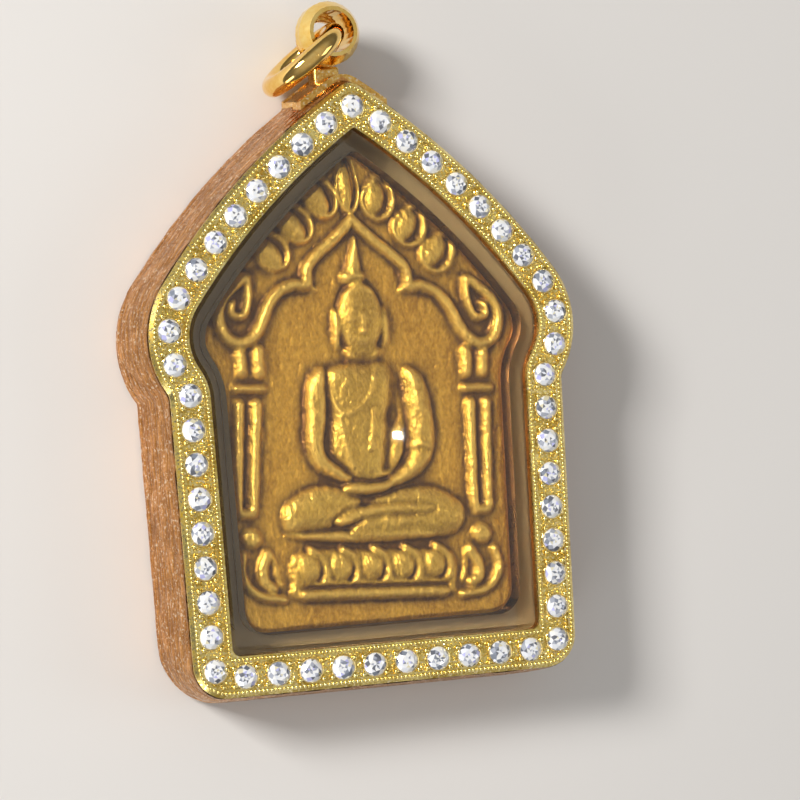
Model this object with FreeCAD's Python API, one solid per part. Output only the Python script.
import FreeCAD, Part
import math
import os

from FreeCAD import Vector

# Thai amulet pendant: a cast tablet in a clear capsule, held by a stone-set gold case.
# Millimetres. The pendant lies on its back: +Z out of the front face, +Y towards the bail.
# Heights z are measured from the back face. Drawing heights y are measured from the middle of
# the case's stone path and are moved by drawing_to_origin at the end.

# Case outline, as the front edge runs
apex_y = 26.3
apex_radius = 1.3
slope_radius = 64.0
shoulder_x = 11.5
shoulder_y = 4.8
shoulder_radius = 8.05
notch_radius = 1.3
side_top_x = 18.03
side_bottom_x = 17.55
bottom_y = -25.6
corner_radius = 2.9
back_corner_radius = 5.3

# Case section
case_depth = 8.0
wall_flare = 0.8
wall_flare_middle = 0.5
front_edge_round = 0.3
back_edge_round = 0.3
wall_thickness = 0.9
bezel_width = 3.45
bezel_thickness = 1.2
bead_rail_width = 0.45
stone_channel_depth = 0.15
window_corner_radius = 0.8
piece_gap = 0.1

# Stones
stone_count = 49
stone_diameter = 2.0
stone_path_inset = 1.7
stone_path_apex_radius = 1.5
stone_proud = 0.1
seat_clearance = 0.05

# Capsule and back rim
back_rim_thickness = 0.8
back_rim_width = 2.6
capsule_split_z = 3.9
pane_top_z = 7.6
pane_bevel = 0.35
pane_thickness = 1.1
capsule_floor = 0.9

# Tablet
tablet_inset = 5.1
tablet_corner_radius = 2.2
tablet_apex_radius = 0.8
tablet_bottom_z = 2.0
tablet_ground_z = 5.3
tablet_shift_x = 0.25
tablet_clearance = 0.15
tablet_rows = 70
tablet_columns = 42
relief_axis_x = -0.6

# Saddle plate and ear
saddle_half_width = 4.0
saddle_thickness = 0.6
saddle_rail_height = 0.12
saddle_rail_width = 0.5
saddle_back_z = 1.0
saddle_front_z = 6.0
ear_centre = Vector(-0.6, 30.7, 2.9)
ear_hole_radius = 1.6
ear_wall = 0.65
ear_depth = 0.8
ear_foot_half_width = 1.2
ear_foot_half_depth = 0.9
ear_foot_top_y = 28.3
ear_foot_rounding = 0.3
ear_neck_half_width = 0.8

# Jump ring
ring_centre = Vector(-3.0, 28.77, 4.6)
ring_radius = 3.55
ring_wire_radius = 0.9
ring_lean_deg = 39.6

# Bail
bail_centre = Vector(-0.8, 30.92, 5.2)
bail_length = 3.3
bail_hole_radius = 1.85
bail_rim_radius = 2.2
bail_middle_radius = 2.85

drawing_to_origin = Vector(0, -(bail_centre.y + bail_middle_radius + bottom_y - wall_flare) / 2, 0)


def unit(vector):
    return vector * (1.0 / vector.Length)


def circle_crossing(first_centre, first_radius, second_centre, second_radius, side):
    """Centre of a circle that is known distances from two centres, on one side of their line."""
    between = second_centre - first_centre
    distance = between.Length
    along = (first_radius ** 2 - second_radius ** 2 + distance ** 2) / (2 * distance)
    across = math.sqrt(first_radius ** 2 - along ** 2)
    direction = unit(between)
    normal = Vector(-direction.y, direction.x, 0)
    return first_centre + direction * along + normal * (across * side)


# Right half of the outline: centres of its arcs, and the frame of its side line
shoulder_centre = Vector(shoulder_x, shoulder_y, 0)
apex_centre = Vector(0, apex_y - apex_radius, 0)
slope_centre = circle_crossing(
    shoulder_centre, slope_radius - shoulder_radius, apex_centre, slope_radius - apex_radius, 1
)
side_direction = unit(Vector(side_bottom_x - side_top_x, bottom_y, 0))
side_normal = Vector(-side_direction.y, side_direction.x, 0)
notch_line_start = Vector(side_top_x, 0, 0) + side_normal * notch_radius
notch_from_shoulder = notch_line_start - shoulder_centre
notch_along = -notch_from_shoulder.dot(side_direction) + math.sqrt(
    notch_from_shoulder.dot(side_direction) ** 2
    - notch_from_shoulder.dot(notch_from_shoulder)
    + (shoulder_radius + notch_radius) ** 2
)
notch_centre = notch_line_start + side_direction * notch_along


def outline_points(offset, apex_min=0.3, corner_min=0.3):
    """Points along the right half of the outline, offset outwards: start, then arc ends and middles."""
    radius_at_apex = max(apex_radius + offset, apex_min)
    radius_at_corner = max(corner_radius + offset, corner_min)
    reach = slope_radius + offset - radius_at_apex
    apex_mid = Vector(0, slope_centre.y + math.sqrt(reach ** 2 - slope_centre.x ** 2), 0)
    side_start = Vector(side_top_x, 0, 0) + side_normal * offset
    corner_line = side_start - side_normal * radius_at_corner
    corner_y = bottom_y - offset + radius_at_corner
    corner_mid = corner_line + side_direction * ((corner_y - corner_line.y) / side_direction.y)

    def on_arc(centre, radius, start, end):
        middle = centre + unit(unit(start - centre) + unit(end - centre)) * radius
        return (middle, end)

    top = apex_mid + Vector(0, radius_at_apex, 0)
    apex_end = apex_mid + unit(apex_mid - slope_centre) * radius_at_apex
    slope_end = shoulder_centre + unit(shoulder_centre - slope_centre) * (shoulder_radius + offset)
    shoulder_end = shoulder_centre + unit(notch_centre - shoulder_centre) * (shoulder_radius + offset)
    notch_end = notch_centre - side_normal * (notch_radius - offset)
    corner_start = corner_mid + side_normal * radius_at_corner
    corner_end = corner_mid + Vector(0, -radius_at_corner, 0)
    arcs = [
        on_arc(apex_mid, radius_at_apex, top, apex_end),
        on_arc(slope_centre, slope_radius + offset, apex_end, slope_end),
        on_arc(shoulder_centre, shoulder_radius + offset, slope_end, shoulder_end),
        on_arc(notch_centre, notch_radius - offset, shoulder_end, notch_end),
        (None, corner_start),
        on_arc(corner_mid, radius_at_corner, corner_start, corner_end),
    ]
    return top, arcs


def outline_wire(offset, z, apex_min=0.3, corner_min=0.3, shift_x=0.0):
    """Closed outline at a height, from the apex round by the right."""
    top, arcs = outline_points(offset, apex_min, corner_min)
    lift = Vector(shift_x, 0, z)
    edges = []
    start = top
    for middle, end in arcs:
        if middle is None:
            edges.append(Part.LineSegment(start + lift, end + lift).toShape())
        else:
            edges.append(Part.Arc(start + lift, middle + lift, end + lift).toShape())
        start = end
    edges.append(Part.LineSegment(start + lift, Vector(-start.x, start.y, 0) + lift).toShape())
    ends = [top] + [end for middle, end in arcs]
    for index in range(len(arcs) - 1, -1, -1):
        middle, end = arcs[index]
        first = Vector(-end.x, end.y, 0) + lift
        last = Vector(-ends[index].x, ends[index].y, 0) + lift
        if middle is None:
            edges.append(Part.LineSegment(first, last).toShape())
        else:
            edges.append(Part.Arc(first, Vector(-middle.x, middle.y, 0) + lift, last).toShape())
    return Part.Wire(edges)


def outline_prism(offset, bottom_z, top_z, **shape):
    face = Part.Face(outline_wire(offset, bottom_z, **shape))
    return face.extrude(Vector(0, 0, top_z - bottom_z))


def flared_body(extra, bottom_z, top_z):
    """Wall of the case, widening towards the back, with extra thickness added outside."""
    heights = [top_z, (top_z + bottom_z) / 2, bottom_z]
    offsets = [0.0, wall_flare_middle, wall_flare]
    corners = [corner_radius, (corner_radius + back_corner_radius) / 2, back_corner_radius]
    wires = []
    for z, offset, corner in zip(heights, offsets, corners):
        wires.append(outline_wire(offset + extra, z, corner_min=corner + extra))
    return Part.makeLoft(wires, True, False)


def block(x_low, x_high, y_low, y_high, z_low, z_high):
    return Part.makeBox(x_high - x_low, y_high - y_low, z_high - z_low, Vector(x_low, y_low, z_low))


def bevelled_prism(offset, bottom_z, top_z, bevel, **shape):
    """Prism with a bevel round its top edge."""
    body = outline_prism(offset, bottom_z, top_z - bevel, **shape)
    wires = [
        outline_wire(offset, top_z - bevel, **shape),
        outline_wire(offset - bevel, top_z, **shape),
    ]
    return body.fuse(Part.makeLoft(wires, True, True)).removeSplitter()


def stone_places():
    """Stone centres, evenly spaced round the bezel from the apex."""
    path = outline_wire(-stone_path_inset, case_depth, apex_min=stone_path_apex_radius)
    return path.discretize(Number=stone_count + 1)[:-1]


# Brilliant cut, in parts of the stone's diameter
table_part = 0.285
crown_part = 0.16
girdle_part = 0.03
pavilion_part = 0.42
crown_middle_part = 0.40
pavilion_middle_part = 0.34
main_facets = 8


def brilliant():
    """Round brilliant with its girdle's lower edge at the origin's height and its table up."""
    step = 2 * math.pi / main_facets
    diameter = stone_diameter
    girdle_top = girdle_part * diameter
    table_z = girdle_top + crown_part * diameter
    culet = Vector(0, 0, -pavilion_part * diameter)

    def ring_point(radius_part, angle, z):
        radius = radius_part * diameter
        return Vector(radius * math.cos(angle), radius * math.sin(angle), z)

    def height_between(outer_part, inner_part, middle_part, outer_z, inner_z):
        reach = middle_part * math.cos(step / 2)
        return outer_z + (inner_z - outer_z) * (outer_part - reach) / (outer_part - inner_part)

    crown_z = height_between(0.5, table_part, crown_middle_part, girdle_top, table_z)
    pavilion_z = height_between(0.5, 0.0, pavilion_middle_part, 0.0, culet.z)
    faces = [[ring_point(table_part, step * k, table_z) for k in range(main_facets)]]
    for k in range(main_facets):
        angle = step * k
        half = angle + step / 2
        following = angle + step
        table_here = ring_point(table_part, angle, table_z)
        table_next = ring_point(table_part, following, table_z)
        crown_before = ring_point(crown_middle_part, angle - step / 2, crown_z)
        crown_after = ring_point(crown_middle_part, half, crown_z)
        main_top = ring_point(0.5, angle, girdle_top)
        half_top = ring_point(0.5, half, girdle_top)
        next_top = ring_point(0.5, following, girdle_top)
        main_low = ring_point(0.5, angle, 0)
        half_low = ring_point(0.5, half, 0)
        next_low = ring_point(0.5, following, 0)
        under_before = ring_point(pavilion_middle_part, angle - step / 2, pavilion_z)
        under_after = ring_point(pavilion_middle_part, half, pavilion_z)
        faces.append([table_here, table_next, crown_after])
        faces.append([table_here, crown_after, main_top, crown_before])
        faces.append([crown_after, half_top, main_top])
        faces.append([crown_after, next_top, half_top])
        faces.append([main_top, half_top, half_low, main_low])
        faces.append([half_top, next_top, next_low, half_low])
        faces.append([main_low, half_low, under_after])
        faces.append([half_low, next_low, under_after])
        faces.append([main_low, under_after, culet, under_before])
    shell = Part.makeShell([Part.Face(Part.makePolygon(face + [face[0]])) for face in faces])
    shell.sewShape()
    stone = Part.Solid(Part.Shell(shell.Faces))
    if stone.Volume < 0:
        stone.reverse()
    return stone


girdle_z = case_depth - stone_channel_depth + stone_proud


def make_stones():
    stone = brilliant()
    stones = []
    for place in stone_places():
        loose = stone.copy()
        loose.translate(Vector(place.x, place.y, girdle_z))
        stones.append(loose)
    return Part.makeCompound(stones)


def stone_seat():
    """Room for one stone below the channel floor."""
    radius = stone_diameter / 2 + seat_clearance
    depth = pavilion_part * stone_diameter + 2 * seat_clearance
    cone = Part.makeCone(0.05, radius, depth, Vector(0, 0, girdle_z - depth - seat_clearance))
    girdle = Part.makeCylinder(radius, case_depth, Vector(0, 0, girdle_z - seat_clearance))
    return cone.fuse(girdle)


def make_saddle():
    """Plate over the apex, with a raised rail along its front and back edges."""
    def drape(extra, z_low, z_high):
        reach = block(-saddle_half_width, saddle_half_width, 0, 2 * apex_y, z_low, z_high)
        return flared_body(extra, 0, case_depth).common(reach)

    rail = saddle_thickness + saddle_rail_height
    plate = drape(saddle_thickness, saddle_back_z, saddle_front_z)
    back_rail = drape(rail, saddle_back_z, saddle_back_z + saddle_rail_width)
    front_rail = drape(rail, saddle_front_z - saddle_rail_width, saddle_front_z)
    saddle = plate.fuse([back_rail, front_rail])
    return saddle.cut(outline_prism(-wall_thickness / 2, 0, case_depth))


def make_ear():
    """Upright loop on a rounded foot, its hole running front to back."""
    back = ear_centre - Vector(0, 0, ear_depth / 2)
    loop = Part.makeCylinder(ear_hole_radius + ear_wall, ear_depth, back)
    ring = loop.cut(Part.makeCylinder(ear_hole_radius, ear_depth, back))
    rims = [edge for edge in ring.Edges if edge.Curve.TypeId == "Part::GeomCircle"]
    ring = ring.makeFillet(ear_wall / 4, rims)
    foot = block(
        ear_centre.x - ear_foot_half_width,
        ear_centre.x + ear_foot_half_width,
        apex_y - ear_foot_half_width,
        ear_foot_top_y,
        ear_centre.z - ear_foot_half_depth,
        ear_centre.z + ear_foot_half_depth,
    )
    foot = foot.makeFillet(ear_foot_rounding, foot.Edges)
    neck = block(
        ear_centre.x - ear_neck_half_width,
        ear_centre.x + ear_neck_half_width,
        apex_y,
        ear_centre.y - ear_hole_radius - ear_wall / 2,
        back.z,
        back.z + ear_depth,
    )
    return ring.fuse([foot, neck]).cut(outline_prism(-wall_thickness / 2, 0, case_depth))


def make_case():
    """Side wall, stone-set front, saddle plate and ear, soldered into one piece."""
    wall_top = case_depth - front_edge_round
    wall = flared_body(0, back_edge_round, wall_top)
    front = Part.makeLoft(
        [outline_wire(0, wall_top), outline_wire(-front_edge_round, case_depth)], True, True
    )
    back = Part.makeLoft(
        [
            outline_wire(wall_flare - back_edge_round, 0, corner_min=back_corner_radius),
            outline_wire(wall_flare, back_edge_round, corner_min=back_corner_radius),
        ],
        True,
        True,
    )
    body = wall.fuse([front, back])
    bezel_bottom = case_depth - bezel_thickness
    body = body.cut(outline_prism(-wall_thickness, -1, bezel_bottom))
    body = body.cut(
        outline_prism(
            -bezel_width, bezel_bottom - 1, case_depth + 1, corner_min=window_corner_radius
        )
    )
    channel_floor = case_depth - stone_channel_depth
    channel = outline_prism(-front_edge_round - bead_rail_width, channel_floor, case_depth + 1)
    channel = channel.cut(
        outline_prism(
            bead_rail_width - bezel_width,
            channel_floor,
            case_depth + 1,
            corner_min=window_corner_radius,
        )
    )
    body = body.cut(channel)
    seat = stone_seat()
    seats = []
    for place in stone_places():
        here = seat.copy()
        here.translate(Vector(place.x, place.y, 0))
        seats.append(here)
    body = body.cut(Part.makeCompound(seats))
    return body.fuse([make_saddle(), make_ear()]).removeSplitter()


def make_back_rim():
    """Plain ring that closes the back and shows the capsule in its middle."""
    plate = outline_prism(-wall_thickness - piece_gap, 0, back_rim_thickness)
    opening = outline_prism(-wall_thickness - back_rim_width, -1, back_rim_thickness + 1)
    return plate.cut(opening)


capsule_inset = -wall_thickness - piece_gap
tablet_outline = {
    "apex_min": tablet_apex_radius,
    "corner_min": tablet_corner_radius,
    "shift_x": tablet_shift_x,
}
pocket_top_z = pane_top_z - pane_thickness


def make_capsule_back():
    bottom = back_rim_thickness + piece_gap
    tray = outline_prism(capsule_inset, bottom, capsule_split_z - piece_gap)
    pocket = outline_prism(
        tablet_clearance - tablet_inset, bottom + capsule_floor, case_depth, **tablet_outline
    )
    return tray.cut(pocket)


def make_capsule_front():
    flange_top = case_depth - bezel_thickness - piece_gap
    flange = outline_prism(capsule_inset, capsule_split_z, flange_top)
    pane = bevelled_prism(
        -bezel_width - piece_gap,
        capsule_split_z,
        pane_top_z,
        pane_bevel,
        corner_min=window_corner_radius,
    )
    pocket = outline_prism(tablet_clearance - tablet_inset, 0, pocket_top_z, **tablet_outline)
    return flange.fuse(pane).removeSplitter().cut(pocket)


# Relief of the tablet. x is measured from the relief's axis, y as in the drawing; each height is
# above the tablet's ground. Rows marked as pairs stand on both sides of the axis.

# Rounded ribs: start x, start y, end x, end y, half width at start, half width at end, height
arch_line = [
    (0.0, 14.5), (1.8, 12.8), (3.4, 11.4), (4.4, 10.0), (4.55, 8.5), (5.6, 8.6), (7.2, 8.1),
    (8.3, 6.9), (8.9, 5.4), (9.8, 4.2), (11.0, 3.7), (12.2, 4.4), (12.7, 6.0), (12.3, 7.5),
    (11.3, 8.6), (10.2, 9.2), (10.1, 7.6), (10.6, 6.1), (11.6, 6.3), (11.6, 7.2),
]
arch_half_width = 0.62
arch_curl_half_width = 0.42
arch_curl_start = 15
arch_height = 0.75
pair_ribs = [
    (10.0, 2.9, 10.0, 0.5, 0.62, 0.62, 0.6),
    (11.5, 2.9, 11.5, 0.5, 0.62, 0.62, 0.6),
    (9.2, -0.6, 12.1, -0.6, 0.38, 0.38, 0.7),
    (10.0, -1.6, 10.0, -11.4, 0.55, 0.55, 0.6),
    (11.35, -1.6, 11.35, -11.4, 0.5, 0.5, 0.55),
    (11.3, -15.0, 11.2, -17.0, 0.6, 0.5, 0.5),
    (11.2, -17.0, 10.2, -18.4, 0.5, 0.45, 0.5),
    (10.2, -18.4, 8.3, -18.5, 0.45, 0.3, 0.45),
    (9.6, -15.4, 8.7, -17.6, 0.9, 0.6, 0.55),
    (2.2, 2.2, 5.0, 0.6, 0.9, 1.0, 0.85),
    (4.9, 0.4, 5.15, -5.6, 1.05, 0.95, 0.9),
    (5.1, -5.7, 1.2, -8.5, 0.95, 0.75, 1.0),
    (0.3, -9.3, 7.3, -10.6, 1.15, 0.95, 0.95),
]
single_ribs = [
    (0.0, 12.9, 0.0, 10.4, 0.25, 0.75, 0.75),
    (0.0, 4.6, 0.0, 2.0, 1.25, 1.5, 0.7),
    (-1.5, -8.6, 1.5, -8.6, 0.75, 0.75, 1.05),
    (-7.6, -11.3, 3.5, -12.2, 1.0, 0.7, 0.85),
    (7.4, -11.0, -3.0, -11.3, 1.0, 0.9, 0.95),
    (-6.0, -18.0, 6.0, -18.0, 0.75, 0.75, 0.7),
    (-5.6, -13.5, 5.6, -13.5, 0.45, 0.45, 0.5),
]

# Rounded bosses: centre x, centre y, half width, half height, height
pair_bosses = [
    (2.6, 16.3, 1.3, 1.8, 0.6),
    (5.15, 14.0, 1.25, 1.5, 0.6),
    (7.5, 11.7, 1.3, 1.5, 0.6),
    (9.7, 10.4, 0.75, 0.75, 0.45),
    (10.4, -13.5, 0.95, 0.95, 0.6),
    (2.15, 5.0, 0.45, 1.75, 0.75),
]
single_bosses = [
    (0.0, 18.0, 1.0, 2.0, 0.6),
    (0.0, 6.0, 2.05, 3.1, 1.05),
    (0.0, 9.4, 1.25, 1.1, 0.8),
    (0.0, -2.2, 4.0, 5.2, 0.85),
]
petal_count = 5
petal_pitch = 2.9
petal_y = -15.5
petal_half_width = 1.35
petal_half_height = 1.5
petal_height = 0.7


def mirrored(rows, places):
    """The rows, with the values at some places of a row turned to the other side as well."""
    both = []
    for row in rows:
        both.append(row)
        both.append(tuple(-value if place in places else value for place, value in enumerate(row)))
    return both


def relief_ribs():
    arch = []
    for index, (start, end) in enumerate(zip(arch_line, arch_line[1:])):
        half = arch_half_width if index < arch_curl_start else arch_curl_half_width
        arch.append(start + end + (half, half, arch_height))
    return mirrored(arch + pair_ribs, (0, 2)) + single_ribs


def relief_bosses():
    petals = []
    for index in range(petal_count):
        x = (index - (petal_count - 1) / 2) * petal_pitch
        petals.append((x, petal_y, petal_half_width, petal_half_height, petal_height))
    return mirrored(pair_bosses, (0,)) + single_bosses + petals


all_ribs = relief_ribs()
all_bosses = relief_bosses()


def relief_height(x, y):
    """Height of the relief above the tablet's ground."""
    highest = 0.0
    for start_x, start_y, end_x, end_y, half_start, half_end, height in all_ribs:
        run_x = end_x - start_x
        run_y = end_y - start_y
        along = ((x - start_x) * run_x + (y - start_y) * run_y) / (run_x ** 2 + run_y ** 2)
        along = min(1.0, max(0.0, along))
        away = math.hypot(x - start_x - run_x * along, y - start_y - run_y * along)
        share = away / (half_start + (half_end - half_start) * along)
        if share < 1:
            highest = max(highest, height * math.sqrt(1 - share ** 2))
    for centre_x, centre_y, half_width, half_height, height in all_bosses:
        share = ((x - centre_x) / half_width) ** 2 + ((y - centre_y) / half_height) ** 2
        if share < 1:
            highest = max(highest, height * math.sqrt(1 - share))
    return highest


def tablet_levels():
    """Row heights of the tablet with the half width of each, from its lower edge to its apex."""
    half = Part.Wire(outline_wire(-tablet_inset, 0, tablet_apex_radius, tablet_corner_radius).Edges[:6])
    points = half.discretize(Number=tablet_rows * 2)[::-1]
    levels = [(points[0].y, points[0].x)]
    pitch = (points[-1].y - points[0].y) / tablet_rows
    for point in points[1:]:
        turned = point.x - levels[-1][1]
        if point.y - levels[-1][0] >= pitch or (turned > pitch and point.y > levels[-1][0]):
            levels.append((point.y, point.x))
    if levels[-1][0] > points[-1].y - pitch / 2:
        levels.pop()
    return levels, points[-1].y


def make_amulet():
    """Cast tablet: a meshed body whose front carries the relief."""
    levels, apex = tablet_levels()
    columns = tablet_columns
    corners = []
    facets = []

    def add(x, y, z):
        corners.append(Vector(x + tablet_shift_x, y, z))
        return len(corners) - 1

    def surface(x, y):
        return add(x, y, tablet_ground_z + relief_height(x - relief_axis_x, y))

    front = []
    for y, half_width in levels:
        xs = [half_width * (2 * column / columns - 1) for column in range(columns + 1)]
        front.append([surface(x, y) for x in xs])
    front_tip = surface(0, apex)
    back = [(add(-half_width, y, tablet_bottom_z), add(half_width, y, tablet_bottom_z))
            for y, half_width in levels]
    back_tip = add(0, apex, tablet_bottom_z)
    for lower, upper in zip(front, front[1:]):
        for column in range(columns):
            facets.append((lower[column], lower[column + 1], upper[column + 1]))
            facets.append((lower[column], upper[column + 1], upper[column]))
    for column in range(columns):
        facets.append((front[-1][column], front[-1][column + 1], front_tip))
    for row in range(len(levels) - 1):
        left, right = back[row]
        left_next, right_next = back[row + 1]
        facets.append((left, left_next, right_next))
        facets.append((left, right_next, right))
        facets.append((left, front[row][0], front[row + 1][0]))
        facets.append((left, front[row + 1][0], left_next))
        facets.append((right, front[row + 1][-1], front[row][-1]))
        facets.append((right, right_next, front[row + 1][-1]))
    left, right = back[-1]
    facets.append((left, back_tip, right))
    facets.append((left, front[-1][0], front_tip))
    facets.append((left, front_tip, back_tip))
    facets.append((right, front_tip, front[-1][-1]))
    facets.append((right, back_tip, front_tip))
    left, right = back[0]
    facets.append((left, right, front[0][-1]))
    for column in range(columns - 1, -1, -1):
        facets.append((left, front[0][column + 1], front[0][column]))
    shape = Part.Shape()
    shape.makeShapeFromMesh((corners, facets), 0.001)
    solid = Part.Solid(Part.Shell(shape.Faces))
    if solid.Volume < 0:
        solid.reverse()
    return solid


def make_jump_ring():
    """Round-wire ring that stands on edge, leaning over the left slope."""
    lean = math.radians(ring_lean_deg)
    axis = Vector(math.sin(lean), -math.cos(lean), 0)
    return Part.makeTorus(ring_radius, ring_wire_radius, ring_centre, axis)


def make_bail():
    """Barrel-shaped ring whose hole runs front to back."""
    half = bail_length / 2
    points = [
        Vector(bail_hole_radius, 0, -half),
        Vector(bail_rim_radius, 0, -half),
        Vector(bail_middle_radius, 0, 0),
        Vector(bail_rim_radius, 0, half),
        Vector(bail_hole_radius, 0, half),
    ]
    edges = [
        Part.LineSegment(points[0], points[1]).toShape(),
        Part.Arc(points[1], points[2], points[3]).toShape(),
        Part.LineSegment(points[3], points[4]).toShape(),
        Part.LineSegment(points[4], points[0]).toShape(),
    ]
    barrel = Part.Face(Part.Wire(edges)).revolve(Vector(0, 0, 0), Vector(0, 0, 1), 360)
    barrel.translate(bail_centre)
    return barrel


pieces = {
    "case": make_case,
    "back_rim": make_back_rim,
    "stones": make_stones,
    "capsule_front": make_capsule_front,
    "capsule_back": make_capsule_back,
    "amulet": make_amulet,
    "jump_ring": make_jump_ring,
    "bail": make_bail,
}

os.makedirs("parts", exist_ok=True)
for name, make in pieces.items():
    shape = make()
    shape.translate(drawing_to_origin)
    shape.exportStep("parts/" + name + ".step")
    box = shape.BoundBox
    print(
        name,
        "valid" if shape.isValid() else "NOT VALID",
        "solids", len(shape.Solids),
        "volume", round(shape.Volume, 1),
        "box", [round(value, 2) for value in (box.XMin, box.XMax, box.YMin, box.YMax, box.ZMin, box.ZMax)],
    )
